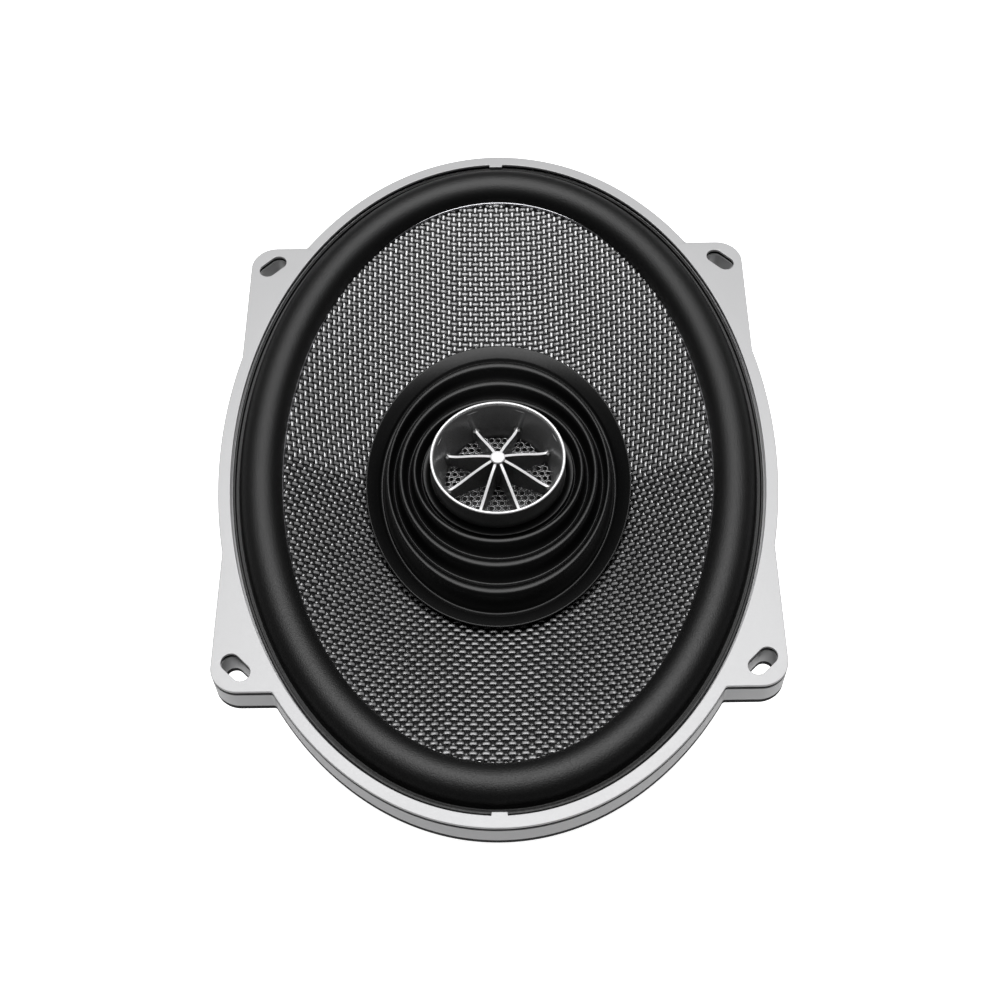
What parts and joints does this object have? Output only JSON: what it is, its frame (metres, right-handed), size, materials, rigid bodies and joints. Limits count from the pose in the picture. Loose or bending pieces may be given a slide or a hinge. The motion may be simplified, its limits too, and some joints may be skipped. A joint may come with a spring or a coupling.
{
  "type": "coaxial car speaker",
  "caption": "Oval coaxial car speaker: cast basket with corner ears, woven cone on a rubber roll, and a horn tweeter on the magnet's pole inside a bellows boot.",
  "frame": {"origin": "centre of the magnet cover's rear rim, which the speaker rests on when it lies on its back", "axes": "+Z forwards along the cone's axis, towards the listener; +Y along the oval's long axis; +X along its short axis, towards the terminal board"},
  "size_m": [0.165, 0.2374, 0.085],
  "materials": {
    "silver_paint": "satin",
    "zinc_steel": "satin",
    "gasket_foam": "matte",
    "ferrite": "matte",
    "copper": "satin",
    "black_rubber": "satin",
    "boot_rubber": "matte",
    "woven_glass": "satin",
    "aramid": "satin",
    "damper_cloth": "matte",
    "black_plastic": "satin",
    "polished_silver": "polished",
    "mesh_metal": "matte",
    "nickel": "polished",
    "diaphragm_film": "gloss",
    "brass": "satin",
    "board_plastic": "matte",
    "blue_sleeve": "gloss",
    "red_sleeve": "satin",
    "black_sleeve": "satin",
    "tinsel_braid": "satin"
  },
  "bodies": {
    "frame": {"basket": "silver_paint", "plate_screw_1": "zinc_steel", "plate_screw_2": "zinc_steel", "plate_screw_3": "zinc_steel", "plate_screw_4": "zinc_steel", "rear_gasket": "gasket_foam", "top_plate": "zinc_steel", "ferrite_magnet": "ferrite", "back_plate": "zinc_steel", "shorting_ring": "copper", "magnet_cover": "black_rubber", "surround": "black_rubber", "spider": "damper_cloth", "dust_boot": "boot_rubber", "horn": "black_plastic", "horn_rim": "polished_silver", "horn_vanes": "black_plastic", "hub_cap": "polished_silver", "throat_mesh": "mesh_metal", "tweeter_housing": "black_plastic", "tweeter_cup": "zinc_steel", "tweeter_magnet": "nickel", "tweeter_pole_plate": "zinc_steel", "tweeter_suspension": "diaphragm_film", "diaphragm_clamp": "black_plastic", "tweeter_post": "zinc_steel", "tweeter_spacer": "brass", "post_washer": "zinc_steel", "post_nut": "zinc_steel", "terminal_board": "board_plastic", "board_screw": "zinc_steel", "terminal_positive": "brass", "terminal_negative": "brass", "terminal_rivet_positive": "brass", "terminal_rivet_negative": "brass", "crossover_capacitor": "blue_sleeve", "capacitor_lead": "red_sleeve", "tweeter_lead_positive": "red_sleeve", "tweeter_lead_negative": "black_sleeve", "tinsel_lead_positive": "tinsel_braid", "tinsel_lead_negative": "tinsel_braid"},
    "moving_cone": {"cone": "woven_glass", "coil_former": "aramid", "voice_coil": "copper", "lead_anchor_positive": "black_rubber", "lead_anchor_negative": "black_rubber"},
    "tweeter_dome": {"tweeter_diaphragm": "diaphragm_film", "tweeter_voice_coil": "copper"}
  },
  "joints": [
    {"name": "cone_travel", "type": "slide", "parent": "frame", "child": "moving_cone", "axis": [0, 0, 1], "range_m": [-0.006, 0.006], "stiffness_N_per_m": 4000, "deforming": ["surround", "spider", "dust_boot", "tinsel_lead_positive", "tinsel_lead_negative"]},
    {"name": "dome_travel", "type": "slide", "parent": "frame", "child": "tweeter_dome", "axis": [0, 0, 1], "range_m": [-0.0003, 0.0003], "stiffness_N_per_m": 600, "deforming": ["tweeter_suspension"]}
  ]
}
